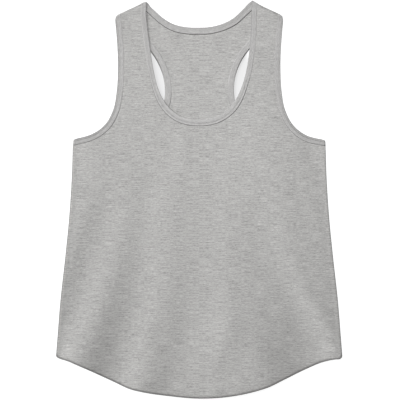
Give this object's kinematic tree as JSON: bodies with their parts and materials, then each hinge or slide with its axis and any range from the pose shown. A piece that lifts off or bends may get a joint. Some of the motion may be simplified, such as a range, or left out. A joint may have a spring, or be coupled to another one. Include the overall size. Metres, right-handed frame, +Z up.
{
  "type": "racerback tank top",
  "caption": "Sleeveless scoop-neck racerback tank top in heather grey jersey, laid flat on its back, with bound neck and armholes and a curved shirt-tail hem.",
  "frame": {"origin": "centre of the bounding box, on the surface the garment lies on", "axes": "+Z up out of the front of the laid garment, +Y from the hem to the neck, +X to the right as seen from above"},
  "size_m": [0.4952, 0.6846, 0.0083],
  "materials": {
    "jersey": "matt heather grey single jersey, fine crosswise flecks",
    "binding_jersey": "matt heather grey jersey, folded strip with a row of stitches"
  },
  "bodies": {
    "root": {"front_panel": "jersey", "back_panel": "jersey", "neck_binding": "binding_jersey", "armhole_binding_left": "binding_jersey", "armhole_binding_right": "binding_jersey"}
  },
  "joints": []
}
